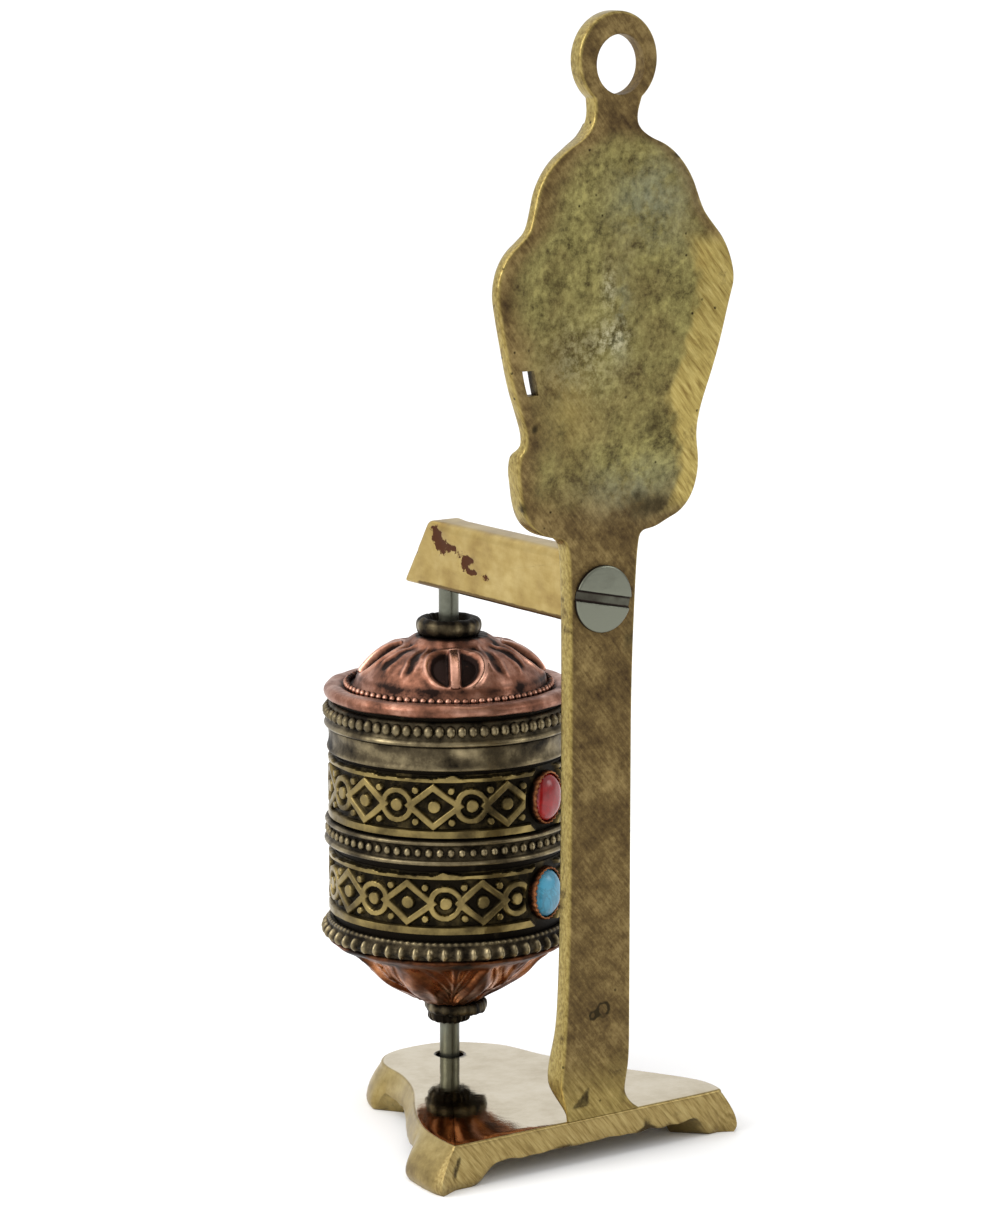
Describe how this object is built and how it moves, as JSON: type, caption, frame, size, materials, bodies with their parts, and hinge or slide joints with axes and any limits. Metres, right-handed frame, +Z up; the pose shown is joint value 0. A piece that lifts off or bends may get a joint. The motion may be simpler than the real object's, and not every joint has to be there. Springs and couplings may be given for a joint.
{
  "type": "prayer wheel",
  "caption": "Small table or wall prayer wheel: a copper and brass drum spins on a steel axle between a footed cast base and an arm on a post with plaque and hanging ring.",
  "frame": {"origin": "on the table, under the middle of the object's box; the drum's axle stands 11.8 mm in front of it", "axes": "+Z up along the axle, the front of the object faces -Y, and the post with its plaque is at +Y"},
  "size_m": [0.0536, 0.0612, 0.1644],
  "materials": {
    "polished_brass": "cast brass, top face mirror polished, feet satin",
    "bright_brass": "satin brass, lacquered, with casting pits",
    "aged_brass": "filed sand-cast brass with olive-brown patina",
    "antique_brass": "oxidised brass, high spots rubbed bright",
    "antique_copper": "oxidised copper sheet, high spots rubbed bright",
    "steel": "dull zinc-plated steel",
    "coral": "glossy cabochon",
    "turquoise": "glossy cabochon",
    "paper": "rolled handmade paper",
    "thread": "cotton thread"
  },
  "bodies": {
    "stand": {"base_plate": "polished_brass", "upright": "aged_brass", "arm": "bright_brass", "arm_screw": "steel"},
    "drum": {"axle": "steel", "top_collar": "antique_brass", "top_cap": "antique_copper", "upper_bead_ring": "antique_brass", "neck_band": "antique_brass", "drum_shell": "antique_brass", "upper_frieze_band": "antique_brass", "middle_bead_strip": "antique_brass", "lower_frieze_band": "antique_brass", "lower_flange": "antique_brass", "bottom_cap": "antique_copper", "bottom_collar": "antique_brass", "coral_stone_rear": "coral", "coral_stone_front": "coral", "coral_bezel_rear": "antique_copper", "coral_bezel_front": "antique_copper", "turquoise_stone_rear": "turquoise", "turquoise_stone_front": "turquoise", "turquoise_bezel_rear": "antique_copper", "turquoise_bezel_front": "antique_copper", "prayer_scroll": "paper", "scroll_thread": "thread"}
  },
  "joints": [
    {"name": "drum_spin", "type": "hinge", "parent": "stand", "child": "drum", "pos_m": [0, -0.0118, 0.045], "axis": [0, 0, 1], "continuous": true}
  ]
}
